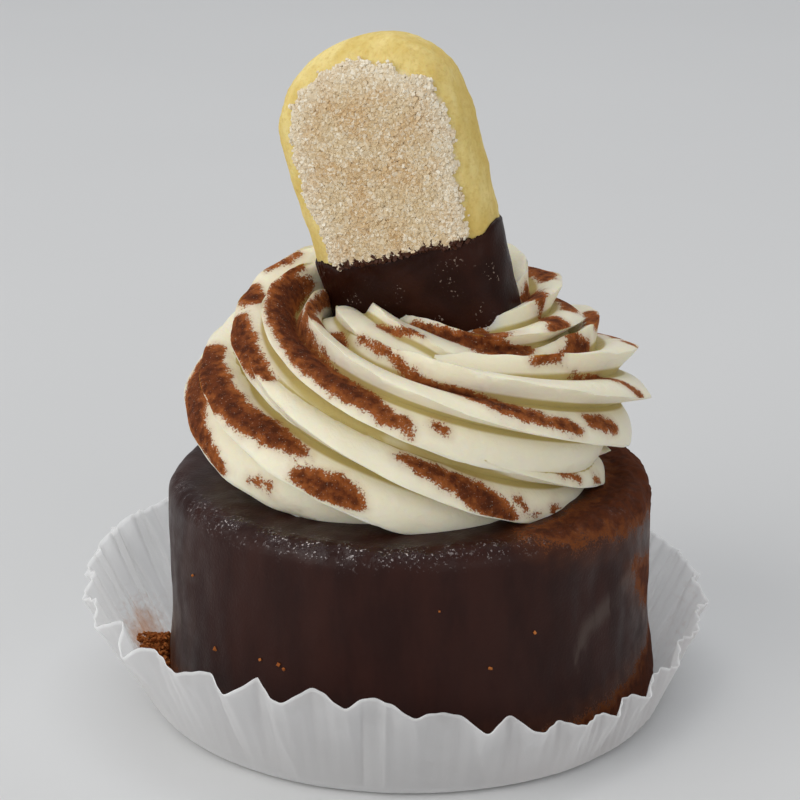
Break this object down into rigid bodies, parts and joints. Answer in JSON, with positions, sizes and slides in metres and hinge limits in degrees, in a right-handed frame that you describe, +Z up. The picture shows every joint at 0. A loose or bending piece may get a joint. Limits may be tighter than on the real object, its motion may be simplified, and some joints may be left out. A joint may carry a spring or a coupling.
{
  "type": "charlotte cake",
  "caption": "Small round chocolate-coated charlotte cake in a pleated paper case, topped with a piped cream swirl and a sugared ladyfinger dipped in dark chocolate.",
  "frame": {"origin": "on the underside of the paper case, under the middle of the cake", "axes": "+Z up through the cake, -Y towards the cake's front, where the ladyfinger shows its sugared face, +X to the right"},
  "size_m": [0.0964, 0.0925, 0.0986],
  "materials": {
    "paper_case": "thin white baking paper, pleated, matt",
    "cake": "cake under a dark chocolate coating, satin, slightly grainy",
    "cream_swirl": "ivory whipped cream, soft sheen, dusted with cocoa",
    "ladyfinger": "pale yellow sponge with a crust of white sugar crystals",
    "chocolate_dip": "dark chocolate, satin"
  },
  "bodies": {
    "root": {"paper_case": "paper_case", "cake": "cake", "cream_swirl": "cream_swirl", "ladyfinger": "ladyfinger", "chocolate_dip": "chocolate_dip"}
  },
  "joints": []
}
